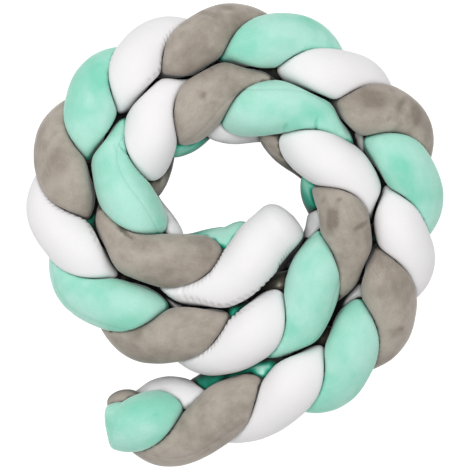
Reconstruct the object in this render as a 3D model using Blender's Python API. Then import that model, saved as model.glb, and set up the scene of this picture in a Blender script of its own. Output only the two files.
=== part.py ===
"""Crib bumper: three stuffed velvet tubes in one plait, laid in a flat coil of two turns.

Every tube follows one centre line through the plait.  Its cloth is round where it
is free.  Where it presses on another tube, on the next turn of the coil or on the
floor, it stops half way to that neighbour, so the tubes meet without passing
through each other.

Metres, +Z up.  The coil rests on z = 0 and is seen from above as in the photo,
+X to the right and +Y to the top.
"""
import math

import bpy
import numpy as np

# ---------------------------------------------------------------- sizes, metres
TUBE_RADIUS = 0.0375        # a stuffed tube that nothing presses on
PLAIT_HALF_WIDTH = 0.035    # how far a centre line swings to either side
PLAIT_HALF_DEPTH = 0.014    # how far it swings over and under
CROSSING_LIFT = 0.006       # how much higher it lies as it crosses inward
LUMP_FULLNESS = 0.05        # share by which a tube is fuller where it lies on top
FULLEST_AFTER = 0.62        # crossings after its own, where it's fullest
CLOTH_GAP = 0.0050          # left between two tubes that press on each other
END_LENGTH = 0.036          # over which a tube's end closes
END_SQUARENESS = 2.6        # 2 would be a round end, more is blunter

BULGE_LIMIT = 1.25          # most that a squeezed tube swells where it's free
BULGE_PASSES = 2
CONTACT_SHARPNESS = 14      # how tight the corner between two contacts is
FLOOR_EASE = 1.03           # the corner at the floor starts this much early

# How far to look for a neighbour, and how much of its own line a tube skips.
REACH = 2.1 * TUBE_RADIUS * (1 + LUMP_FULLNESS) * BULGE_LIMIT
OWN_SKIP = 0.022
SAME_TURN = 1.7             # crossings: nearer than this is the same turn

# Resolution of the solids.
SECTIONS = 200              # along a tube
POINTS_AROUND = 15
LINE_STEP = 0.004           # of the centre lines that neighbours are measured to

# The middle of the plait, one row for each crossing of two tubes, from the outer
# end of the coil to the inner end.  roll is how far the plait leans over, with
# its outer edge up.
ROUTE_COLUMNS = ("crossing", "x", "y", "height", "roll_deg")
ROUTE = (
    (-0.5, -0.240, -0.310, 0.060, 35),
    (0.0, -0.185, -0.300, 0.060, 50),
    (1.0, -0.075, -0.300, 0.060, 45),
    (2.0, 0.060, -0.245, 0.065, 45),
    (3.0, 0.160, -0.200, 0.065, 50),
    (4.0, 0.230, -0.110, 0.065, 50),
    (5.0, 0.255, -0.015, 0.065, 55),
    (6.0, 0.265, 0.085, 0.065, 50),
    (7.0, 0.235, 0.180, 0.065, 50),
    (8.0, 0.160, 0.235, 0.065, 50),
    (9.0, 0.075, 0.295, 0.065, 50),
    (10.0, -0.035, 0.300, 0.065, 50),
    (11.0, -0.135, 0.270, 0.065, 50),
    (12.0, -0.210, 0.210, 0.065, 50),
    (13.0, -0.260, 0.120, 0.065, 50),
    (14.0, -0.260, 0.015, 0.065, 50),
    (15.0, -0.205, -0.090, 0.065, 55),
    (16.0, -0.110, -0.145, 0.065, 55),
    (17.0, 0.000, -0.155, 0.070, 50),
    (18.0, 0.100, -0.110, 0.070, 55),
    (19.0, 0.165, 0.005, 0.070, 60),
    (20.0, 0.165, 0.095, 0.070, 65),
    (21.0, 0.085, 0.190, 0.070, 60),
    (22.0, -0.030, 0.215, 0.070, 60),
    (23.0, -0.120, 0.180, 0.070, 65),
    (24.0, -0.175, 0.090, 0.070, 65),
    (25.0, -0.135, -0.025, 0.070, 65),
    (26.0, 0.000, -0.045, 0.070, 60),
    (26.6, 0.075, 0.015, 0.070, 55),
)

# The tubes in the order in which they come to the top.  Each starts and stops at
# a crossing of its own, and there its end lies beside the middle of the plait by
# "out" (away from the coil's middle) and "up", eased in over "ease" crossings.
TUBES = (
    dict(name="tube_mint", slot="velvet_mint", colour=(0.42, 0.77, 0.64),
         start=dict(crossing=-0.25, out=0.006, up=0.018, ease=0.5),
         stop=dict(crossing=26.4, out=-0.020, up=-0.007, ease=0.4)),
    dict(name="tube_grey", slot="velvet_grey", colour=(0.39, 0.35, 0.31),
         start=dict(crossing=-0.20, out=0.000, up=-0.012, ease=0.5),
         stop=dict(crossing=26.6, out=0.013, up=-0.020, ease=0.5)),
    dict(name="tube_white", slot="velvet_white", colour=(0.86, 0.85, 0.86),
         start=dict(crossing=0.10, out=0.000, up=-0.024, ease=0.3),
         stop=dict(crossing=26.75, out=0.003, up=0.024, ease=0.6)),
)

# Taken off every point, so that the origin is under the middle of the footprint.
FOOTPRINT_MIDDLE = (-0.0005, 0.0003)


# ------------------------------------------------------------------ centre lines
def natural_spline(rows):
    """A smooth curve through rows of (place, value, value...)."""
    table = np.array(rows, dtype=float)
    place, value = table[:, 0], table[:, 1:]
    count, step = len(place), np.diff(table[:, 0])
    system, target = np.eye(count), np.zeros_like(value)
    for i in range(1, count - 1):
        system[i, i - 1:i + 2] = step[i - 1], 2 * (step[i - 1] + step[i]), step[i]
        target[i] = 6 * ((value[i + 1] - value[i]) / step[i]
                         - (value[i] - value[i - 1]) / step[i - 1])
    bend = np.linalg.solve(system, target)

    def curve(at):
        i = np.clip(np.searchsorted(place, at) - 1, 0, count - 2)
        after, before = (at - place[i])[:, None], (place[i + 1] - at)[:, None]
        h = step[i][:, None]
        return (bend[i] * before ** 3 + bend[i + 1] * after ** 3) / (6 * h) \
            + (value[i + 1] / h - bend[i + 1] * h / 6) * after \
            + (value[i] / h - bend[i] * h / 6) * before
    return curve


def ease(x):
    """0 to 1 with a level start and finish."""
    x = np.clip(x, 0.0, 1.0)
    return x * x * (3 - 2 * x)


def centre_line(index, route):
    """Points of one tube's centre line, with the crossing at each point."""
    tube = TUBES[index]
    at = np.linspace(tube["start"]["crossing"], tube["stop"]["crossing"], 3000)
    x, y, height, roll = route(at).T
    ahead = (route(at + 0.01) - route(at - 0.01))[:, :2]
    ahead /= np.linalg.norm(ahead, axis=1, keepdims=True)
    outward = np.stack([ahead[:, 1], -ahead[:, 0]], axis=1)

    # The three tubes go round the plait one after the other, on a figure of eight.
    phase = 2 * math.pi * (at - index) / len(TUBES)
    aside = PLAIT_HALF_WIDTH * np.cos(phase)
    above = PLAIT_HALF_DEPTH * np.sin(2 * phase) + CROSSING_LIFT * np.sin(phase)
    roll = np.radians(roll)
    out = aside * np.cos(roll) - above * np.sin(roll)
    up = aside * np.sin(roll) + above * np.cos(roll)

    for end in (tube["start"], tube["stop"]):
        share = ease(1 - np.abs(at - end["crossing"]) / end["ease"])
        out += share * (end["out"] - out)
        up += share * (end["up"] - up)
    points = np.stack([x + outward[:, 0] * out, y + outward[:, 1] * out, height + up], axis=1)
    return points, at


def evenly_spaced(points, at, count):
    """The same line in equal steps: points, crossings and lengths along it."""
    along = np.r_[0, np.cumsum(np.linalg.norm(np.diff(points, axis=0), axis=1))]
    length = np.linspace(0, along[-1], count)
    spread = np.stack([np.interp(length, along, points[:, k]) for k in range(3)], axis=1)
    return spread, np.interp(length, along, at), length


def section_axes(points):
    """Two axes across the line at each point, carried along it without twist."""
    ahead = np.gradient(points, axis=0)
    ahead /= np.linalg.norm(ahead, axis=1, keepdims=True)
    across = np.zeros_like(points)
    across[0] = np.array([0, 0, 1]) - ahead[0] * ahead[0, 2]
    across[0] /= np.linalg.norm(across[0])
    for k in range(1, len(points)):
        side = across[k - 1] - ahead[k] * (across[k - 1] @ ahead[k])
        across[k] = side / np.linalg.norm(side)
    return across, np.cross(ahead, across)


# ------------------------------------------------------------------ cloth
def half_way(centre, rays, others):
    """How far each ray runs to the cloth of other lines, which is half way to them."""
    offset = others - centre
    distance = np.linalg.norm(offset, axis=1)
    close = distance < REACH
    toward = rays @ offset[close].T
    meet = (distance[close] ** 2 - CLOTH_GAP * distance[close]) / (2 * np.maximum(toward, 1e-9))
    return np.where(toward > 1e-6, meet, np.inf).min(axis=1, initial=np.inf)


def contact_limits(index, centres, at, length, rays, lines):
    """For each section, how far its rays run to every neighbour."""
    limits = []
    for other, (points, other_at, other_length) in enumerate(lines):
        for same_turn in (True, False):
            limit = np.full(rays.shape[:2], np.inf)
            for k, centre in enumerate(centres):
                chosen = (np.abs(other_at - at[k]) < SAME_TURN) == same_turn
                if other == index:
                    chosen &= np.abs(other_length - length[k]) > OWN_SKIP
                limit[k] = half_way(centre, rays[k], points[chosen])
            limits.append(limit)
    return limits


def fullness(index, at):
    """The filling gathers a little where the tube lies on top."""
    lump = 2 * math.pi * (at - index - FULLEST_AFTER) / len(TUBES)
    return 1 + LUMP_FULLNESS * np.cos(lump)


def end_shape(length):
    """1 along the tube, falling to 0 at both ends."""
    from_end = np.minimum(length, length[-1] - length)
    inside = np.clip(1 - from_end / END_LENGTH, 0, 1)
    return (1 - inside ** END_SQUARENESS) ** (1 / END_SQUARENESS)


def tube_surface(index, lines, route, sections=SECTIONS, around=POINTS_AROUND):
    """Points of one tube's cloth, section by section, and its centre line."""
    points, at = centre_line(index, route)
    centres, at, length = evenly_spaced(points, at, sections)
    first, second = section_axes(centres)
    angle = np.arange(around) * 2 * math.pi / around
    rays = np.cos(angle)[:, None] * first[:, None] + np.sin(angle)[:, None] * second[:, None]

    limits = contact_limits(index, centres, at, length, rays, lines)
    down = -rays[..., 2]
    floor = np.where(down > 1e-4, centres[:, 2][:, None] / np.maximum(down, 1e-4), 1e9)
    limits.append(FLOOR_EASE * floor)

    loose = TUBE_RADIUS * fullness(index, at)
    shape, swell = end_shape(length), np.ones(sections)
    for _ in range(BULGE_PASSES):
        free = np.maximum(loose * shape * swell, 1e-4)[:, None]
        total = sum(np.clip(limit, 1e-4, 1e3) ** -CONTACT_SHARPNESS for limit in limits)
        radius = (free ** -CONTACT_SHARPNESS + total) ** (-1 / CONTACT_SHARPNESS)
        radius = np.minimum(radius, floor)
        cloth = centres[:, None] + rays * radius[..., None]
        swell = bulge(cloth, loose, swell, shape)
    return cloth, centres


def bulge(cloth, loose, swell, shape):
    """The girth of cloth stays, so what's squeezed in one place swells in another."""
    girth = np.linalg.norm(cloth - np.roll(cloth, 1, axis=1), axis=2).sum(axis=1)
    wanted = np.clip(2 * math.pi * loose / girth, 1, BULGE_LIMIT)
    wanted = np.where(shape < 1, 1, swell * wanted)
    window = np.hanning(7) / np.hanning(7).sum()
    return np.clip(np.convolve(np.pad(wanted, 3, mode="edge"), window, mode="valid"), 1, BULGE_LIMIT)


# ------------------------------------------------------------------ solids
def tube_faces(sections, around):
    """Quads along the tube and a fan at each end, seen from outside."""
    faces = []
    for k in range(sections - 1):
        for a in range(around):
            b = (a + 1) % around
            faces.append((k * around + a, k * around + b,
                          (k + 1) * around + b, (k + 1) * around + a))
    first_tip, last_tip = sections * around, sections * around + 1
    last = (sections - 1) * around
    for a in range(around):
        b = (a + 1) % around
        faces.append((first_tip, b, a))
        faces.append((last_tip, last + a, last + b))
    return faces


def velvet(name, colour):
    material = bpy.data.materials.new(name)
    material.use_nodes = True
    shader = material.node_tree.nodes["Principled BSDF"]
    shader.inputs["Base Color"].default_value = (*colour, 1)
    shader.inputs["Roughness"].default_value = 0.9
    shader.inputs["Metallic"].default_value = 0.0
    shader.inputs["Sheen Weight"].default_value = 0.4
    return material


def add_tube(index, lines, route):
    tube = TUBES[index]
    cloth, centres = tube_surface(index, lines, route)
    # The outermost sections are the tips, so each closes in a single point.
    body = cloth[1:-1]
    points = np.concatenate([body.reshape(-1, 3), centres[:1], centres[-1:]])
    points[:, :2] -= FOOTPRINT_MIDDLE
    mesh = bpy.data.meshes.new(tube["name"])
    mesh.from_pydata(points.tolist(), [], tube_faces(len(body), POINTS_AROUND))
    mesh.materials.append(velvet(tube["slot"], tube["colour"]))
    mesh.update()
    thing = bpy.data.objects.new(tube["name"], mesh)
    bpy.context.scene.collection.objects.link(thing)
    return thing


def main():
    for thing in list(bpy.data.objects):
        bpy.data.objects.remove(thing)
    route = natural_spline(ROUTE)
    lines = []
    for index in range(len(TUBES)):
        points, at = centre_line(index, route)
        length = np.linalg.norm(np.diff(points, axis=0), axis=1).sum()
        lines.append(evenly_spaced(points, at, int(length / LINE_STEP)))
    for index in range(len(TUBES)):
        add_tube(index, lines, route)


main()
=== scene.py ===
"""The looks of the crib bumper: three stuffed velvet tubes, plaited and coiled flat.

Each tube's cloth is worked out again here from the same route and much the same rule
as the solid that it replaces, on a far finer mesh.  The gaps are smaller and three of
the ends lie a little elsewhere.  The sleeve's seam, the puckered edges, the pinches,
the uneven filling and a short-pile velvet are added.

Metres, +Z up.  The coil lies on z = 0 and is seen from straight above.
"""
import math

import bpy
import numpy as np
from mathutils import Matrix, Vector, noise
from mathutils.bvhtree import BVHTree


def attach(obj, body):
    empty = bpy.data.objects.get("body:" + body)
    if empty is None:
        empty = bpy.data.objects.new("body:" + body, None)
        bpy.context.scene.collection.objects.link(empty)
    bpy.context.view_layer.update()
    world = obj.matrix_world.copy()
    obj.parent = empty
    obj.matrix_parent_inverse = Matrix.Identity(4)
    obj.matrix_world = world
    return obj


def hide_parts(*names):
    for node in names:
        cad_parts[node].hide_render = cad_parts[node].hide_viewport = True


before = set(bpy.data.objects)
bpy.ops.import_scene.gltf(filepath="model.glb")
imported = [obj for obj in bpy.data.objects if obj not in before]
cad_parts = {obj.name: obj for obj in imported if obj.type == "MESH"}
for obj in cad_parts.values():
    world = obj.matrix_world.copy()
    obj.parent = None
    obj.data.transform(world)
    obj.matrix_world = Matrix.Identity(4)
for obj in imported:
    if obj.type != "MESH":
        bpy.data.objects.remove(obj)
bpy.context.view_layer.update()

# ---------------------------------------------------------------- sizes, metres
TUBE_RADIUS = 0.0375        # a stuffed tube that nothing presses on
PLAIT_HALF_WIDTH = 0.035    # how far a centre line swings to either side
PLAIT_HALF_DEPTH = 0.014    # how far it swings over and under
CROSSING_LIFT = 0.006       # how much higher it lies as it crosses inward
LUMP_FULLNESS = 0.05        # share by which a tube is fuller where it lies on top
FULLEST_AFTER = 0.62        # crossings after its own, where it's fullest
CLOTH_GAP = 0.0016          # left between two tubes that press on each other
TURN_GAP = 0.0045           # the same between two turns of the coil
END_LENGTH = 0.036          # over which a tube's end closes
# How square a tube's end is: 2 would be round, more is blunter.
END_SQUARENESS = 2.6        # seen from above, unless the end has its own "blunt"
END_SIDE_SQUARENESS = 2.3   # seen from the side

BULGE_LIMIT = 1.25          # most that a squeezed tube swells where it's free
BULGE_REACH = 0.060         # how far along the tube a swelling spreads, each way
BULGE_PASSES = 2            # rounds of squeezing and swelling
CONTACT_SHARPNESS = 20      # how tight the corner between two contacts is
TURN_SHARPNESS = 10         # the same between two turns
FLOOR_EASE = 1.03           # the surface presses as if it lay this much farther off
LEAST_RADIUS = 1e-4
FARTHEST = 1e3              # stands for no contact at all

# Lines farther off than REACH press on nothing.
REACH = 2.1 * TUBE_RADIUS * (1 + LUMP_FULLNESS) * BULGE_LIMIT
OWN_SKIP = 0.022            # nearer than this along its line, a tube isn't its own neighbour
SAME_TURN = 1.7             # crossings: nearer than this is the same turn

SECTIONS = 1840
POINTS_AROUND = 54
TOP_DENSITY = 0.5           # how much closer the points round a section lie on top
SEAM_DENSITY = 1.6          # and at the seam,
SEAM_BAND = 0.22            # over this angle in radians
LINE_SAMPLES = 3000         # points of a centre line before they're evenly spaced
LINE_STEP = 0.003           # between points of the lines that sections are held against

# ---------------------------------------------------------------- camera
PHOTO_SIZE = 470            # pixels each way
PIXEL = 0.00168             # metres, at the surface that the coil lies on
CAMERA_HEIGHT = 2.52
SENSOR = 36.0               # mm

# ---------------------------------------------------------------- the plait
ROUTE_COLUMNS = ("crossing", "x", "y", "height", "roll_deg")
ROUTE = (
    (-0.5, -0.240, -0.310, 0.060, 35),
    (0.0, -0.185, -0.300, 0.060, 50),
    (1.0, -0.075, -0.300, 0.060, 45),
    (2.0, 0.060, -0.245, 0.065, 45),
    (3.0, 0.160, -0.200, 0.065, 50),
    (4.0, 0.230, -0.110, 0.065, 50),
    (5.0, 0.255, -0.015, 0.065, 55),
    (6.0, 0.265, 0.085, 0.065, 50),
    (7.0, 0.235, 0.180, 0.065, 50),
    (8.0, 0.160, 0.235, 0.065, 50),
    (9.0, 0.075, 0.295, 0.065, 50),
    (10.0, -0.035, 0.300, 0.065, 50),
    (11.0, -0.135, 0.270, 0.065, 50),
    (12.0, -0.210, 0.210, 0.065, 50),
    (13.0, -0.260, 0.120, 0.065, 50),
    (14.0, -0.260, 0.015, 0.065, 50),
    (15.0, -0.205, -0.090, 0.065, 55),
    (16.0, -0.110, -0.145, 0.065, 55),
    (17.0, 0.000, -0.155, 0.070, 50),
    (18.0, 0.100, -0.110, 0.070, 55),
    (19.0, 0.165, 0.005, 0.070, 60),
    (20.0, 0.165, 0.095, 0.070, 65),
    (21.0, 0.085, 0.190, 0.070, 60),
    (22.0, -0.030, 0.215, 0.070, 60),
    (23.0, -0.120, 0.180, 0.070, 65),
    (24.0, -0.175, 0.090, 0.070, 65),
    (25.0, -0.135, -0.025, 0.070, 65),
    (26.0, 0.000, -0.045, 0.070, 60),
    (26.6, 0.075, 0.015, 0.070, 55),
)
FOOTPRINT_MIDDLE = (-0.0005, 0.0003)

# start, stop: the crossing where the tube ends, how far outside the route and above it
# that end lies, over how many crossings the tube gets there, and how blunt the end is.
# seam: where the sleeve's seam runs round the tube, in degrees from the top,
# positive towards the outside of the coil, by crossing.
# fuller: how many times fuller the tube is, by crossing.
TUBES = (
    dict(name="tube_mint", slot="velvet_mint",
         start=dict(crossing=-0.25, out=0.006, up=0.022, ease=0.75, blunt=4.0),
         stop=dict(crossing=26.4, out=-0.025, up=-0.007, ease=0.8),
         seam=((-0.3, 190), (3, 150), (9, 140), (15, 50), (18, 55), (21, 35),
               (23.5, 5), (24.6, -35), (26.5, -75))),
    dict(name="tube_grey", slot="velvet_grey",
         start=dict(crossing=-0.20, out=0.000, up=-0.012, ease=0.5),
         stop=dict(crossing=26.6, out=0.013, up=-0.020, ease=0.5),
         seam=((-0.3, 40), (1, 35), (4, 120), (13, 150), (19, 110), (22, -35),
               (25, -110), (26.7, -120))),
    dict(name="tube_white", slot="velvet_white",
         start=dict(crossing=0.10, out=0.000, up=-0.024, ease=0.5),
         stop=dict(crossing=26.75, out=0.003, up=0.024, ease=0.6),
         seam=((0.0, -130), (26.8, -130)),
         fuller=((24.5, 1.0), (25.5, 1.08), (26.8, 1.08))),
)

# Short creases where the cloth is pinched, seen from above: the middle of each, the
# way it runs, its length, width and depth.
PINCH_COLUMNS = ("tube", "x", "y", "turn_deg", "length", "width", "depth")
PINCHES = (
    ("tube_mint", 0.130, 0.175, 85, 0.020, 0.005, 0.0035),
    ("tube_mint", 0.080, 0.170, 60, 0.012, 0.006, 0.0025),
    ("tube_mint", -0.190, 0.140, 110, 0.015, 0.005, 0.0020),
    ("tube_mint", -0.180, 0.140, 120, 0.015, 0.005, 0.0030),
    ("tube_mint", -0.170, 0.130, 130, 0.015, 0.005, 0.0020),
    ("tube_mint", -0.125, -0.285, 30, 0.010, 0.005, 0.0020),
    ("tube_mint", -0.200, 0.260, 70, 0.010, 0.005, 0.0020),
    ("tube_grey", -0.175, 0.005, -40, 0.030, 0.006, 0.0050),
    ("tube_white", -0.095, -0.080, 60, 0.020, 0.005, 0.0020),
    ("tube_white", -0.085, -0.090, 80, 0.020, 0.005, 0.0025),
    ("tube_white", -0.080, -0.075, 100, 0.015, 0.005, 0.0020),
    ("tube_white", -0.040, -0.060, 80, 0.025, 0.005, 0.0010),
)
# Lumps whose cloth is puckered where it meets the lump before, or on both sides.
PUCKER_COLUMNS = ("tube", "crossing", "strength", "both_sides")
PUCKERS = (
    ("tube_mint", 24, 0.4, False),
    ("tube_white", 11, 0.9, False),
    ("tube_white", 14, 1.0, False),
    ("tube_white", 17, 1.0, False),
    ("tube_white", 26, 1.1, True),
)
PUCKER_DEPTH = 0.0050
PUCKER_PITCH = 0.0080       # from one fold to the next
PUCKER_WANDER = 0.0020      # how far a fold strays along the tube
PUCKER_REACH = 0.65         # crossings from the lump's own, where they have faded out
PUCKER_FADE = 3             # how fast they fade towards there
PUCKER_MIDDLE = 15          # degrees round the tube where the side before a lump ends
PUCKER_SLANT = 95           # degrees that this place goes back in a crossing
PUCKER_BLEND = 30           # degrees over which it ends
PRESS_MIDDLE = 0.04         # how far pressed in the cloth is where the folds are deepest
PRESS_BAND = 0.035          # how far on from there they fade
PRESS_LEAST = 0.025         # and below this they shrink to nothing
# Painted shade in a pinch's crease: the colour darkens with its depth.
PINCH_SHADE = -50            # tone per metre of a pinch's depth
MARKS_ABOVE = 0.045         # height above which the cloth has pinches and marks
SEAM_DEPTH = 0.0006
SEAM_GROOVE = 0.0024        # half-width of the groove
SEAM_LINE = 0.0013          # half-width of the line that's seen in it
FILLING_LUMPS = ((0.0010, 0.055, 1), (0.0004, 0.022, 2))    # height, size and seed
LUMPS_FLATTEN = 4           # how fast they go as the cloth is pressed in
SEED_STEP = 17.3            # how far apart two seeds read the noise

# Where the pile is brushed another way, and on the mint partly painted shade across a lump,
# seen from above: the middle of each mark, the way it runs, its length and width, and how much lighter
# or darker it looks.
MARK_COLUMNS = ("tube", "x", "y", "turn_deg", "length", "width", "tone")
MARKS = (
    ("tube_grey", 0.155, 0.025, 90, 0.035, 0.018, -0.22),
    ("tube_grey", 0.200, 0.015, 30, 0.025, 0.007, -0.22),
    ("tube_grey", 0.165, 0.055, 25, 0.012, 0.005, -0.18),
    ("tube_grey", 0.140, 0.055, 90, 0.008, 0.004, -0.15),
    ("tube_grey", 0.220, 0.215, 0, 0.040, 0.030, -0.12),
    ("tube_grey", 0.265, 0.210, 50, 0.028, 0.010, -0.15),
    ("tube_grey", 0.290, 0.190, 100, 0.035, 0.018, -0.12),
    ("tube_grey", 0.245, 0.185, 45, 0.012, 0.006, -0.12),
    ("tube_grey", 0.250, 0.230, -20, 0.010, 0.006, -0.12),
    ("tube_grey", 0.270, 0.195, 60, 0.030, 0.010, 0.06),
    ("tube_grey", -0.050, 0.220, 60, 0.014, 0.010, -0.18),
    ("tube_grey", -0.035, 0.210, 0, 0.010, 0.006, -0.08),
    ("tube_grey", -0.040, 0.265, -30, 0.015, 0.005, -0.10),
    ("tube_grey", -0.045, 0.355, -20, 0.040, 0.010, -0.12),
    ("tube_grey", -0.015, 0.365, 0, 0.025, 0.008, -0.10),
    ("tube_grey", 0.000, 0.330, 40, 0.050, 0.025, -0.08),
    ("tube_grey", -0.280, 0.115, 70, 0.050, 0.035, -0.12),
    ("tube_grey", -0.300, 0.095, 90, 0.030, 0.015, -0.08),
    ("tube_grey", -0.075, -0.125, 45, 0.025, 0.020, -0.06),
    ("tube_grey", -0.095, -0.160, 80, 0.030, 0.010, -0.08),
    ("tube_grey", -0.165, -0.150, -45, 0.035, 0.025, -0.08),
    ("tube_grey", -0.150, -0.015, -10, 0.050, 0.025, -0.12),
    ("tube_grey", -0.175, -0.060, -30, 0.030, 0.015, 0.06),
    ("tube_grey", -0.080, -0.310, 0, 0.030, 0.025, -0.06),
    ("tube_grey", -0.085, -0.295, 60, 0.020, 0.012, -0.06),
    ("tube_grey", -0.120, -0.290, 60, 0.030, 0.015, -0.10),
    ("tube_grey", 0.260, -0.155, 20, 0.030, 0.018, -0.10),
    ("tube_grey", 0.265, -0.150, 0, 0.010, 0.008, -0.12),
    ("tube_grey", 0.230, -0.065, 60, 0.040, 0.020, 0.05),
    ("tube_mint", -0.215, 0.245, -80, 0.070, 0.030, -0.10),
    ("tube_mint", -0.230, 0.195, 0, 0.020, 0.008, -0.06),
    ("tube_mint", 0.075, 0.305, 0, 0.060, 0.020, -0.08),
    ("tube_mint", 0.120, 0.340, -20, 0.045, 0.020, -0.08),
    ("tube_mint", 0.125, 0.190, -45, 0.050, 0.020, -0.08),
    ("tube_mint", 0.120, 0.240, 0, 0.030, 0.015, -0.05),
    ("tube_mint", 0.270, 0.095, -60, 0.080, 0.030, -0.10),
    ("tube_mint", -0.155, 0.100, -60, 0.060, 0.025, -0.08),
    ("tube_mint", 0.085, -0.150, 30, 0.050, 0.030, -0.06),
    ("tube_mint", 0.165, -0.170, 80, 0.060, 0.035, -0.10),
    ("tube_mint", -0.245, -0.090, -10, 0.070, 0.020, -0.06),
    ("tube_mint", -0.150, -0.275, 20, 0.050, 0.015, -0.08),
    ("tube_mint", -0.185, -0.320, -20, 0.025, 0.015, 0.06),
    ("tube_mint", -0.140, -0.305, 0, 0.030, 0.015, 0.05),
)

# Colours as linear red, green, blue: where the pile stands up, where it's brushed
# flat, and painted shade, in the shade of a neighbour and deep in the plait, where only light
# off the cloth itself comes.  clouds, mottle, streaks and grain are how much each changes it,
# and sheen and bump are how strong the shader's sheen and the pile's relief are.
VELVET = {
    "velvet_mint": dict(up=(0.455, 0.790, 0.675), flat=(0.235, 0.680, 0.510),
                        shade=(0.035, 0.400, 0.275), deep=(0.004, 0.150, 0.088),
                        sheen=0.30, clouds=0.70, mottle=0.60, streaks=0.03, grain=0.06, bump=0.15),
    "velvet_grey": dict(up=(0.445, 0.395, 0.342), flat=(0.245, 0.208, 0.172),
                        shade=(0.085, 0.080, 0.062), deep=(0.024, 0.023, 0.016),
                        sheen=0.30, clouds=0.60, mottle=1.10, streaks=0.06, grain=0.14, bump=0.30),
    "velvet_white": dict(up=(0.885, 0.870, 0.880), flat=(0.855, 0.845, 0.855),
                         shade=(0.700, 0.695, 0.700), deep=(0.400, 0.400, 0.390),
                         sheen=0.12, clouds=0.60, mottle=0.40, streaks=0.01, grain=0.015, bump=0.08),
}

# Light that reaches a point, as a share of an open one's.
SKY_RAYS = 28
SKY_REACH = 0.25            # how far a neighbour still takes light away
RAY_START = 0.003           # how far out of the cloth a ray starts
RAY_LEAST = 0.05            # rays closer to the cloth's own plane than this aren't cast
SHUT_RAYS = 0.10            # rays that always count as shut, as a share of them all
SHARE_GAIN = 1.1
LIT_FROM, LIT_OVER = 0.05, 0.70             # share where light starts, and grows to full
GROOVE_LIGHT = 0.60                         # share of missing light that a groove gets back
GROOVE_FROM, GROOVE_OVER = 0.095, 0.030     # height where that starts, and grows to full
LOW, HIGH = 0.035, 0.100    # heights between which the plait grows lighter
LOW_LIGHT = 0.30            # share of the light that's left at the lower one
FACING_FROM, FACING_OVER = -0.35, 0.85      # the same for how far up the cloth faces
DOWN_LIGHT = 0.40           # share of the light that's left where it faces down
COARSE_ALONG = 4            # the share is worked out on every fourth section
COARSE_AROUND = 3           # and every third point round it

# ---------------------------------------------------------------- floor and lamps
FLOOR_Z = -0.0005
FLOOR_SIDE = 1.0            # of the part that's shaded by the coil
FLOOR_CELLS = 125           # each way
FLOOR_RIM = 0.01            # outermost strip of it, which is fully lit
FLOOR_FAR = 8               # metres that the rest runs out to, each way
GLOW_HEIGHT = 0.05          # above the floor, where its open share is taken
GLOW_GROW = 3               # cells by which the lit part grows
GLOW_BLUR = 2               # cells over which it's then evened out
SKY_STRENGTH = 0.35
SOFTBOX_SIZE = 1.4
SOFTBOX_WATTS = 42
SOFTBOX_PLACE = (-0.2, 0.3, 2.4)


def named(columns, rows):
    """The rows of a table, each as a dict by column."""
    return [dict(zip(columns, row)) for row in rows]


# ---------------------------------------------------------------- centre lines
def natural_spline(rows):
    """A smooth curve through rows of (place, value, value...)."""
    table = np.array(rows, dtype=float)
    place, value = table[:, 0], table[:, 1:]
    count, step = len(place), np.diff(table[:, 0])
    system, target = np.eye(count), np.zeros_like(value)
    for i in range(1, count - 1):
        system[i, i - 1:i + 2] = step[i - 1], 2 * (step[i - 1] + step[i]), step[i]
        target[i] = 6 * ((value[i + 1] - value[i]) / step[i]
                         - (value[i] - value[i - 1]) / step[i - 1])
    bend = np.linalg.solve(system, target)

    def curve(at):
        i = np.clip(np.searchsorted(place, at) - 1, 0, count - 2)
        after, before = (at - place[i])[:, None], (place[i + 1] - at)[:, None]
        h = step[i][:, None]
        return (bend[i] * before ** 3 + bend[i + 1] * after ** 3) / (6 * h) \
            + (value[i + 1] / h - bend[i + 1] * h / 6) * after \
            + (value[i] / h - bend[i] * h / 6) * before
    return curve


def ease(x):
    """0 to 1 with a level start and finish."""
    x = np.clip(x, 0.0, 1.0)
    return x * x * (3 - 2 * x)


def centre_line(index, route):
    """Points of one tube's centre line, with the crossing at each point."""
    tube = TUBES[index]
    at = np.linspace(tube["start"]["crossing"], tube["stop"]["crossing"], LINE_SAMPLES)
    place = dict(zip(ROUTE_COLUMNS[1:], route(at).T))
    ahead = (route(at + 0.01) - route(at - 0.01))[:, :2]
    ahead /= np.linalg.norm(ahead, axis=1, keepdims=True)
    outward = np.stack([ahead[:, 1], -ahead[:, 0]], axis=1)

    # The three tubes go round the plait one after the other, on a figure of eight.
    phase = 2 * math.pi * (at - index) / len(TUBES)
    aside = PLAIT_HALF_WIDTH * np.cos(phase)
    above = PLAIT_HALF_DEPTH * np.sin(2 * phase) + CROSSING_LIFT * np.sin(phase)
    roll = np.radians(place["roll_deg"])
    out = aside * np.cos(roll) - above * np.sin(roll)
    up = aside * np.sin(roll) + above * np.cos(roll)

    for end in (tube["start"], tube["stop"]):
        share = ease(1 - np.abs(at - end["crossing"]) / end["ease"])
        out += share * (end["out"] - out)
        up += share * (end["up"] - up)
    points = np.stack([place["x"] + outward[:, 0] * out,
                       place["y"] + outward[:, 1] * out,
                       place["height"] + up], axis=1)
    return points, at


def evenly_spaced(points, at, count):
    """The same line in equal steps: points, crossings and lengths along it."""
    along = np.r_[0, np.cumsum(np.linalg.norm(np.diff(points, axis=0), axis=1))]
    length = np.linspace(0, along[-1], count)
    spread = np.stack([np.interp(length, along, points[:, k]) for k in range(3)], axis=1)
    return spread, np.interp(length, along, at), length


def section_axes(points):
    """At each point the way up and the way outward, both square to the line."""
    ahead = np.gradient(points, axis=0)
    ahead /= np.linalg.norm(ahead, axis=1, keepdims=True)
    up = np.array([0.0, 0.0, 1.0]) - ahead * ahead[:, 2:]
    up /= np.linalg.norm(up, axis=1, keepdims=True)
    return up, np.cross(ahead, up)


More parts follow.
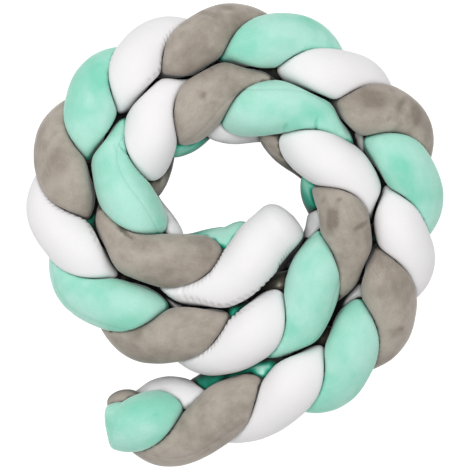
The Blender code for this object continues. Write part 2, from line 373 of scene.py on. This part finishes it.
# ---------------------------------------------------------------- cloth
def angles_around(seam, count):
    """Angles round each section, the first one on the seam: closer together near
    the seam and on the upper side, where the cloth is seen."""
    fine = np.linspace(0, 2 * math.pi, 721)
    angle = seam[:, None] + fine
    from_seam = np.minimum(fine, 2 * math.pi - fine)
    density = 1 + TOP_DENSITY * np.cos(angle) + SEAM_DENSITY * np.exp(-(from_seam / SEAM_BAND) ** 2)
    share = np.cumsum(density, axis=1)
    share = (share - share[:, :1]) / (share[:, -1:] - share[:, :1])
    wanted = np.arange(count) / count
    return np.stack([np.interp(wanted, share[k], angle[k]) for k in range(len(seam))])


def half_way(centre, rays, others, gap):
    """How far each ray runs to the cloth of other lines, which is half way to them."""
    offset = others - centre
    distance = np.linalg.norm(offset, axis=1)
    close = distance < REACH
    toward = rays @ offset[close].T
    meet = (distance[close] ** 2 - gap * distance[close]) / (2 * np.maximum(toward, 1e-9))
    return np.where(toward > 1e-6, meet, np.inf).min(axis=1, initial=np.inf)


def contact_limits(index, centres, at, length, rays, lines):
    """How far each section's rays run to every line, in its own turn and in others."""
    limits = {True: [], False: []}
    for other, (points, other_at, other_length) in enumerate(lines):
        for same_turn, gap in ((True, CLOTH_GAP), (False, TURN_GAP)):
            limit = np.full(rays.shape[:2], np.inf)
            for k, centre in enumerate(centres):
                chosen = (np.abs(other_at - at[k]) < SAME_TURN) == same_turn
                if other == index:
                    chosen &= np.abs(other_length - length[k]) > OWN_SKIP
                limit[k] = half_way(centre, rays[k], points[chosen], gap)
            limits[same_turn].append(limit)
    return limits[True], limits[False]


def fullness(index, at):
    """The filling gathers a little where the tube lies on top."""
    lump = 2 * math.pi * (at - index - FULLEST_AFTER) / len(TUBES)
    fuller = np.interp(at, *zip(*TUBES[index].get("fuller", ((0, 1), (1, 1)))))
    return fuller * (1 + LUMP_FULLNESS * np.cos(lump))


def end_shape(tube, length, angle):
    """1 along the tube, falling to 0 at both ends."""
    shape = 1
    for end, from_end in ((tube["start"], length), (tube["stop"], length[-1] - length)):
        extra = end.get("blunt", END_SQUARENESS) - END_SIDE_SQUARENESS
        square = END_SIDE_SQUARENESS + extra * np.sin(angle) ** 2
        inside = np.clip(1 - from_end / END_LENGTH, 0, 1)[:, None]
        shape = shape * (1 - inside ** square) ** (1 / square)
    return shape


def bulge(cloth, loose, swell, shape, step):
    """The girth of cloth stays, so what's squeezed in one place swells in another."""
    girth = np.linalg.norm(cloth - np.roll(cloth, 1, axis=1), axis=2).sum(axis=1)
    wanted = np.clip(2 * math.pi * loose / girth, 1, BULGE_LIMIT)
    wanted = np.where(shape < 1, 1, swell * wanted)
    half = max(3, int(BULGE_REACH / step))
    window = np.hanning(2 * half + 1)
    window = window / window.sum()
    return np.clip(np.convolve(np.pad(wanted, half, mode="edge"), window, mode="valid"),
                   1, BULGE_LIMIT)


def closed_smooth(values):
    """Evens out a field over the cloth, round the tube and along it."""
    values = (np.roll(values, 1, axis=1) + 2 * values + np.roll(values, -1, axis=1)) / 4
    padded = np.pad(values, ((1, 1), (0, 0)), mode="edge")
    return (padded[:-2] + 2 * values + padded[2:]) / 4


def soft_noise(points, size, seed):
    """Smooth noise from -1 to 1 at each point, with lumps of the given size."""
    place = points.reshape(-1, 3) / size + seed * SEED_STEP
    values = np.fromiter((noise.noise(Vector(p)) for p in place.tolist()), float, len(place))
    return values.reshape(points.shape[:-1])


class Tube:
    """One tube's cloth: its sections, and the fields that shape and colour it."""

    def __init__(self, index, lines, route):
        self.tube = TUBES[index]
        points, at = centre_line(index, route)
        self.centres, self.at, self.length = evenly_spaced(points, at, SECTIONS)
        up, outward = section_axes(self.centres)
        seam = np.radians(natural_spline(self.tube["seam"])(self.at)[:, 0])
        self.angle = angles_around(seam, POINTS_AROUND)
        from_seam = self.angle - seam[:, None]
        self.from_seam = np.where(from_seam > math.pi, from_seam - 2 * math.pi, from_seam)
        self.rays = np.cos(self.angle)[..., None] * up[:, None] \
            + np.sin(self.angle)[..., None] * outward[:, None]

        limits, turn_limits = contact_limits(index, self.centres, self.at, self.length,
                                             self.rays, lines)
        down = -self.rays[..., 2]
        self.floor = np.where(down > 1e-4, self.centres[:, 2][:, None] / np.maximum(down, 1e-4), 1e9)
        limits.append(FLOOR_EASE * self.floor)

        loose = TUBE_RADIUS * fullness(index, self.at)
        self.shape = end_shape(self.tube, self.length, self.angle)
        swell = np.ones(SECTIONS)
        step = self.length[1]
        total = sum(np.clip(limit, LEAST_RADIUS, FARTHEST) ** -CONTACT_SHARPNESS for limit in limits)
        turns = sum(np.clip(limit, LEAST_RADIUS, FARTHEST) ** -TURN_SHARPNESS for limit in turn_limits)
        sharper = CONTACT_SHARPNESS / TURN_SHARPNESS
        for _ in range(BULGE_PASSES):
            self.free = np.maximum((loose * swell)[:, None] * self.shape, LEAST_RADIUS)
            round_off = (self.free ** -TURN_SHARPNESS + turns) ** sharper
            radius = (round_off + total) ** (-1 / CONTACT_SHARPNESS)
            cloth = self.centres[:, None] + self.rays * radius[..., None]
            swell = bulge(cloth, loose, swell, self.shape.min(axis=1), step)
        self.radius = np.minimum(closed_smooth(radius), self.floor)
        # 0 where the cloth is free, towards 1 where a neighbour presses it in.
        self.pressed = np.clip(1 - self.radius / self.free, 0, 1)
        self.relief()

    def cloth(self):
        """The points of the cloth, by section and round it."""
        return self.centres[:, None] + self.rays * self.radius[..., None]

    def relief(self):
        """Presses in the seam, the puckers and the pinches, and adds the uneven filling."""
        cloth = self.cloth()
        aside = np.abs(self.from_seam) * self.radius
        self.seam_line = np.exp(-(aside / SEAM_LINE) ** 2)
        along = self.length[:, None] + PUCKER_WANDER * soft_noise(cloth, 0.030, 3)
        wave = (0.5 + 0.5 * np.sin(2 * math.pi * along / PUCKER_PITCH)) ** 2
        uneven = np.clip(0.70 + 0.7 * soft_noise(cloth, 0.040, 4), 0.15, 1.2)
        puckers = PUCKER_DEPTH * self.edges() * uneven * wave
        groove = SEAM_DEPTH * np.exp(-(aside / SEAM_GROOVE) ** 2)
        self.pinches = sum(pinch["depth"] * spot(cloth, pinch)
                           for pinch in named(PINCH_COLUMNS, PINCHES)
                           if pinch["tube"] == self.tube["name"])
        lumps = sum(height * soft_noise(cloth, size, seed) for height, size, seed in FILLING_LUMPS)
        free_share = np.clip(1 - LUMPS_FLATTEN * self.pressed, 0, 1)
        inward = groove + puckers + self.pinches
        self.radius = self.radius + self.shape * (free_share * lumps - inward)
        self.radius = np.minimum(np.maximum(self.radius, LEAST_RADIUS), self.floor)

    def edges(self):
        """How strongly the cloth is puckered: most where a neighbour's press begins."""
        degrees = (np.degrees(self.angle) + 180) % 360 - 180
        edge = 0
        for row in named(PUCKER_COLUMNS, PUCKERS):
            if row["tube"] == self.tube["name"]:
                past = (self.at - row["crossing"])[:, None]
                near = ease(PUCKER_FADE * (PUCKER_REACH - np.abs(past)))
                # Seen from above, the middle of a lump goes round the tube along it.
                before = ease((PUCKER_MIDDLE - PUCKER_SLANT * past - degrees) / PUCKER_BLEND)
                edge = edge + row["strength"] * near * (1 if row["both_sides"] else before)
        press = np.exp(-((self.pressed - PRESS_MIDDLE) / PRESS_BAND) ** 2)
        return edge * press * ease(self.pressed / PRESS_LEAST)

    def normals(self):
        """The way the cloth faces at each of its points."""
        cloth = self.cloth()
        around = np.roll(cloth, -1, axis=1) - np.roll(cloth, 1, axis=1)
        normal = np.cross(around, np.gradient(cloth, axis=0))
        return normal / np.maximum(np.linalg.norm(normal, axis=2, keepdims=True), 1e-12)


def spot(points, row):
    """1 in the middle of a mark or pinch and 0 well outside it, seen from above."""
    turn = math.radians(row["turn_deg"])
    east, north = points[..., 0] - row["x"], points[..., 1] - row["y"]
    ahead = (east * math.cos(turn) + north * math.sin(turn)) / (row["length"] / 2)
    across = (north * math.cos(turn) - east * math.sin(turn)) / (row["width"] / 2)
    return np.exp(-(ahead ** 4 + across ** 4)) * (points[..., 2] > MARKS_ABOVE)


# ---------------------------------------------------------------- light that reaches a point
def coarse(field):
    """The few sections and points that the rays are worked out on."""
    return field[::COARSE_ALONG, ::COARSE_AROUND]


def plait_tree(tubes):
    """A tree of coarse faces of all tubes, without their tips, to follow rays against."""
    points, faces = [], []
    for tube in tubes:
        cloth = coarse(tube.cloth())
        sections, around = cloth.shape[:2]
        sides = tube_faces(sections, around)[:-2 * around]
        faces += [[len(points) + i for i in face] for face in sides]
        points += cloth.reshape(-1, 3).tolist()
    return BVHTree.FromPolygons(points, faces)


def open_share(points, normals, tree):
    """Share of the sky in front of each point that's open, from 0 to 1."""
    turn = math.pi * (3 - math.sqrt(5))
    rise = (np.arange(SKY_RAYS) + 0.5) / SKY_RAYS
    spread = np.sqrt(1 - rise ** 2)
    angle = np.arange(SKY_RAYS) * turn
    sky = np.stack([spread * np.cos(angle), spread * np.sin(angle), rise], axis=1)
    ahead = (normals @ sky.T > RAY_LEAST).tolist()
    starts = (points + RAY_START * normals).tolist()
    rays = [Vector(ray) for ray in sky.tolist()]
    share = np.zeros(len(points))
    for k, (start, wanted) in enumerate(zip(starts, ahead)):
        seen = sum(1 for ray, use in zip(rays, wanted)
                   if use and tree.ray_cast(start, ray, SKY_REACH)[0] is None)
        share[k] = seen / (sum(wanted) + SHUT_RAYS * SKY_RAYS)
    return np.clip(share * SHARE_GAIN, 0, 1)


def tube_light(tube, tree):
    """The light that reaches each point of a tube's cloth, from 0 to 1, which the velvet paints into its
    colour as shade.
    """
    cloth, normals = coarse(tube.cloth()), coarse(tube.normals())
    share = open_share(cloth.reshape(-1, 3), normals.reshape(-1, 3), tree).reshape(cloth.shape[:2])
    fine = np.stack([np.interp(np.arange(SECTIONS), np.arange(0, SECTIONS, COARSE_ALONG), column)
                     for column in share.T], axis=1)
    place = np.arange(POINTS_AROUND) / COARSE_AROUND
    low = place.astype(int)
    part = place - low
    fine = fine[:, low] * (1 - part) + fine[:, (low + 1) % fine.shape[1]] * part
    # Light off the lumps beside it fills a shallow groove, and little of it gets deeper.
    height = tube.cloth()[..., 2]
    fine = ease((fine - LIT_FROM) / LIT_OVER)
    fine = 1 - (1 - fine) * (1 - GROOVE_LIGHT * ease((height - GROOVE_FROM) / GROOVE_OVER))
    by_height = LOW_LIGHT + (1 - LOW_LIGHT) * ease((height - LOW) / (HIGH - LOW))
    # Cloth that stands upright or faces down gets less of it too.
    facing_up = ease((tube.normals()[..., 2] - FACING_FROM) / FACING_OVER)
    return fine * by_height * (DOWN_LIGHT + (1 - DOWN_LIGHT) * facing_up)


def tube_faces(sections, around):
    """Quads along the tube and a fan at each end, seen from outside."""
    k, a = np.meshgrid(np.arange(sections - 1), np.arange(around), indexing="ij")
    b = (a + 1) % around
    quads = np.stack([k * around + a, k * around + b,
                      (k + 1) * around + b, (k + 1) * around + a], axis=-1).reshape(-1, 4)
    first_tip, last_tip, last = sections * around, sections * around + 1, (sections - 1) * around
    fans = []
    for a in range(around):
        b = (a + 1) % around
        fans.append((first_tip, b, a))
        fans.append((last_tip, last + a, last + b))
    return quads.tolist() + fans


def set_field(mesh, name, field):
    """A value at each point of a tube's mesh; the two tips take their neighbours'."""
    values = np.concatenate([field[1:-1].ravel(), [field[0].mean(), field[-1].mean()]])
    mesh.attributes.new(name, "FLOAT", "POINT").data.foreach_set("value", values.astype(np.float32))


def add_tube(tube, tree):
    """One tube's mesh, with its fields, its velvet and what the library needs to know."""
    cloth = tube.cloth()
    body = cloth[1:-1]
    points = np.concatenate([body.reshape(-1, 3), tube.centres[:1], tube.centres[-1:]])
    points[:, :2] -= FOOTPRINT_MIDDLE
    name = tube.tube["name"].replace("tube", "velvet_tube")
    mesh = bpy.data.meshes.new(name)
    mesh.from_pydata(points.tolist(), [], tube_faces(len(body), POINTS_AROUND))
    mesh.shade_smooth()
    mesh.update()

    set_field(mesh, "light", tube_light(tube, tree))
    set_field(mesh, "seam", tube.seam_line)
    # Painted shade in the pinches' creases, then the marks, which are brushed pile and on the mint
    # partly painted shade.
    tone = PINCH_SHADE * tube.pinches
    for mark in named(MARK_COLUMNS, MARKS):
        if mark["tube"] == tube.tube["name"]:
            tone += mark["tone"] * spot(cloth, mark)
    set_field(mesh, "tone", tone)
    # The sleeve laid out straight, for the streaks along its nap.
    straight = np.stack([np.broadcast_to(tube.length[:, None], tone.shape),
                         TUBE_RADIUS * np.cos(tube.from_seam),
                         TUBE_RADIUS * np.sin(tube.from_seam)], axis=2)
    ends = straight[[0, -1]].mean(axis=1)
    straight = np.concatenate([straight[1:-1].reshape(-1, 3), ends])
    sleeve = mesh.attributes.new("sleeve", "FLOAT_VECTOR", "POINT")
    sleeve.data.foreach_set("vector", straight.astype(np.float32).ravel())

    piece = bpy.data.objects.new(name, mesh)
    bpy.context.scene.collection.objects.link(piece)
    mesh.materials.append(velvet(tube.tube["slot"]))
    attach(piece, "root")
    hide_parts(tube.tube["name"])


# ---------------------------------------------------------------- materials
class Shading:
    """Short ways to add nodes to a material."""

    def __init__(self, name):
        self.material = bpy.data.materials.new(name)
        self.material.use_nodes = True
        self.nodes, self.links = self.material.node_tree.nodes, self.material.node_tree.links
        self.shader = self.nodes["Principled BSDF"]

    def field(self, name, output="Fac"):
        node = self.nodes.new("ShaderNodeAttribute")
        node.attribute_name = name
        return node.outputs[output]

    def noise(self, vector, scale, detail, stretch=(1, 1, 1)):
        mapping = self.nodes.new("ShaderNodeMapping")
        mapping.inputs["Scale"].default_value = stretch
        self.links.new(vector, mapping.inputs["Vector"])
        node = self.nodes.new("ShaderNodeTexNoise")
        node.inputs["Scale"].default_value = scale
        node.inputs["Detail"].default_value = detail
        self.links.new(mapping.outputs["Vector"], node.inputs["Vector"])
        return node.outputs["Fac"]

    def ramp(self, value, low, high, to_low=0.0, to_high=1.0):
        node = self.nodes.new("ShaderNodeMapRange")
        node.interpolation_type = "SMOOTHSTEP"
        for name, number in (("From Min", low), ("From Max", high),
                             ("To Min", to_low), ("To Max", to_high)):
            node.inputs[name].default_value = number
        self.links.new(value, node.inputs["Value"])
        return node.outputs["Result"]

    def math(self, operation, first, second):
        node = self.nodes.new("ShaderNodeMath")
        node.operation = operation
        for socket, value in zip(node.inputs, (first, second)):
            if isinstance(value, (int, float)):
                socket.default_value = value
            else:
                self.links.new(value, socket)
        return node.outputs["Value"]

    def mix(self, share, first, second, blend="MIX"):
        node = self.nodes.new("ShaderNodeMix")
        node.data_type = "RGBA"
        node.blend_type = blend
        for name, value in (("Factor", share), ("A", first), ("B", second)):
            if name == "Factor":
                socket = node.inputs[0]
            else:
                socket = next(i for i in node.inputs if i.name == name and i.type == "RGBA")
            if isinstance(value, tuple):
                socket.default_value = (*value, 1)
            elif isinstance(value, float):
                socket.default_value = value
            else:
                self.links.new(value, socket)
        return next(o for o in node.outputs if o.type == "RGBA")


def velvet(slot):
    """Short-pile velvet: soft clouds and streaks of nap, brushed marks that on the mint are
    partly painted shade, and painted shade, from the light field, that darkens the colour down in the
    plait."""
    look = VELVET[slot]
    s = Shading(slot + "_pile")
    s.shader.inputs["Roughness"].default_value = 0.85
    s.shader.inputs["Specular IOR Level"].default_value = 0.15
    s.shader.inputs["Sheen Weight"].default_value = look["sheen"]
    s.shader.inputs["Sheen Roughness"].default_value = 0.4
    s.shader.inputs["Sheen Tint"].default_value = (1, 1, 1, 1)

    sleeve = s.field("sleeve", "Vector")
    clouds = s.ramp(s.noise(sleeve, 16, 3), 0.35, 0.70)
    mottle = s.noise(sleeve, 75, 4)
    streaks = s.noise(sleeve, 420, 3, (0.12, 1, 1))
    grain = s.noise(sleeve, 420, 4)

    # The pile is brushed flat in clouds and spots, and by the listed marks.
    share = s.math("MULTIPLY", clouds, look["clouds"])
    share = s.math("ADD", share, s.math("MULTIPLY", s.math("SUBTRACT", mottle, 0.5), look["mottle"]))
    # The tone field holds the listed marks, partly painted shade on the mint, and painted shade in the
    # pinches' creases.
    marked = s.math("MULTIPLY", s.field("tone"), s.ramp(grain, 0.35, 0.65, 2.5, 5.0))
    share = s.math("SUBTRACT", share, marked)
    colour = s.mix(share, look["up"], look["flat"])

    # The nap's streaks, its grain and the seam make the colour lighter or darker.
    tone = s.math("MULTIPLY", s.math("SUBTRACT", grain, 0.5), look["grain"] * 2)
    tone = s.math("ADD", tone, s.math("MULTIPLY", s.math("SUBTRACT", streaks, 0.5), look["streaks"] * 2))
    tone = s.math("SUBTRACT", tone, s.math("MULTIPLY", s.field("seam"), 0.13))
    brightness = s.nodes.new("ShaderNodeCombineColor")
    for socket in brightness.inputs:
        s.links.new(s.math("ADD", tone, 1.0), socket)
    colour = s.mix(1.0, colour, brightness.outputs["Color"], "MULTIPLY")

    # Painted shade: as the light field falls, the colour goes to the shade colour, then the deep one,
    # then near black.
    light = s.field("light")
    colour = s.mix(s.ramp(light, 0.30, 0.70), look["shade"], colour)
    colour = s.mix(s.ramp(light, 0.08, 0.40), look["deep"], colour)
    colour = s.mix(s.ramp(light, 0.01, 0.10), (0.003, 0.003, 0.003), colour)
    s.links.new(colour, s.shader.inputs["Base Color"])

    height = s.math("ADD", grain, s.math("MULTIPLY", streaks, 0.6))
    bump = s.nodes.new("ShaderNodeBump")
    bump.inputs["Strength"].default_value = look["bump"]
    bump.inputs["Distance"].default_value = 0.0006
    s.links.new(height, bump.inputs["Height"])
    s.links.new(bump.outputs["Normal"], s.shader.inputs["Normal"])
    return s.material


# ---------------------------------------------------------------- stage
def add_camera():
    """A camera straight above the middle of the photo."""
    data = bpy.data.cameras.new("camera")
    data.sensor_width = SENSOR
    data.lens = SENSOR * CAMERA_HEIGHT / (PHOTO_SIZE * PIXEL)
    camera = bpy.data.objects.new("camera", data)
    camera.location = (-FOOTPRINT_MIDDLE[0], -FOOTPRINT_MIDDLE[1], CAMERA_HEIGHT)
    bpy.context.scene.collection.objects.link(camera)
    bpy.context.scene.camera = camera


def spread(grid, reach, pick):
    """Gives each point the most, or the mean, of the square of points round it."""
    wide = np.pad(grid, reach, mode="edge")
    rows, columns = grid.shape
    near = [wide[i:i + rows, j:j + columns]
            for i in range(2 * reach + 1) for j in range(2 * reach + 1)]
    return pick(near, axis=0)


def add_floor(tree):
    """A white floor that glows where the sky reaches it, so no shadow lies round the coil."""
    row = FLOOR_CELLS + 1
    place = np.linspace(-FLOOR_SIDE / 2, FLOOR_SIDE / 2, row)
    x, y = (grid.ravel() for grid in np.meshgrid(place, place, indexing="ij"))
    points = np.stack([x, y, np.full_like(x, FLOOR_Z)], axis=1)
    above = points + (*FOOTPRINT_MIDDLE, GLOW_HEIGHT)
    share = open_share(above, np.broadcast_to((0.0, 0.0, 1.0), above.shape), tree)
    share[np.maximum(abs(x), abs(y)) > FLOOR_SIDE / 2 - FLOOR_RIM] = 1
    # The glow runs in under the cloth's edge and fades out there.
    share = spread(share.reshape(row, row), GLOW_GROW, np.max)
    share = spread(share, GLOW_BLUR, np.mean).ravel()
    faces = [(i * row + j, (i + 1) * row + j, (i + 1) * row + j + 1, i * row + j + 1)
             for i in range(FLOOR_CELLS) for j in range(FLOOR_CELLS)]

    # Four more faces carry it on to far outside.
    corner = [0, FLOOR_CELLS * row, row ** 2 - 1, FLOOR_CELLS]
    far = [(-FLOOR_FAR, -FLOOR_FAR), (FLOOR_FAR, -FLOOR_FAR),
           (FLOOR_FAR, FLOOR_FAR), (-FLOOR_FAR, FLOOR_FAR)]
    first_far = len(points)
    points = np.concatenate([points, [(*at, FLOOR_Z) for at in far]])
    share = np.concatenate([share, np.ones(4)])
    for k in range(4):
        m = (k + 1) % 4
        faces.append((corner[k], first_far + k, first_far + m, corner[m]))

    mesh = bpy.data.meshes.new("floor")
    mesh.from_pydata(points.tolist(), [], faces)
    mesh.attributes.new("light", "FLOAT", "POINT").data.foreach_set("value", share.astype(np.float32))
    s = Shading("floor_white_glow")
    s.shader.inputs["Base Color"].default_value = (0.25, 0.25, 0.25, 1)
    s.shader.inputs["Roughness"].default_value = 0.9
    s.shader.inputs["Specular IOR Level"].default_value = 0.0
    # Painted light: the floor glows where the sky reaches it, which takes away the shadow round the
    # coil.
    s.shader.inputs["Emission Color"].default_value = (1, 1, 1, 1)
    s.links.new(s.ramp(s.field("light"), 0.15, 0.30), s.shader.inputs["Emission Strength"])
    mesh.materials.append(s.material)
    floor = bpy.data.objects.new("floor", mesh)
    bpy.context.scene.collection.objects.link(floor)


def add_light():
    """An even white sky and one softbox above the coil."""
    world = bpy.data.worlds.new("studio")
    world.use_nodes = True
    background = world.node_tree.nodes["Background"]
    background.inputs["Color"].default_value = (1, 1, 1, 1)
    background.inputs["Strength"].default_value = SKY_STRENGTH
    bpy.context.scene.world = world
    data = bpy.data.lights.new("softbox", "AREA")
    data.shape = "SQUARE"
    data.size = SOFTBOX_SIZE
    data.energy = SOFTBOX_WATTS
    light = bpy.data.objects.new("softbox", data)
    light.location = SOFTBOX_PLACE
    light.rotation_euler = (-light.location).to_track_quat("-Z", "Y").to_euler()
    bpy.context.scene.collection.objects.link(light)


def main():
    """Builds the stage and the three tubes."""
    bpy.context.scene.view_settings.view_transform = "Standard"
    add_camera()
    add_light()
    route = natural_spline(ROUTE)
    lines = []
    for index in range(len(TUBES)):
        points, at = centre_line(index, route)
        length = np.linalg.norm(np.diff(points, axis=0), axis=1).sum()
        lines.append(evenly_spaced(points, at, int(length / LINE_STEP)))
    tubes = [Tube(index, lines, route) for index in range(len(TUBES))]
    tree = plait_tree(tubes)
    add_floor(tree)
    for tube in tubes:
        add_tube(tube, tree)


main()
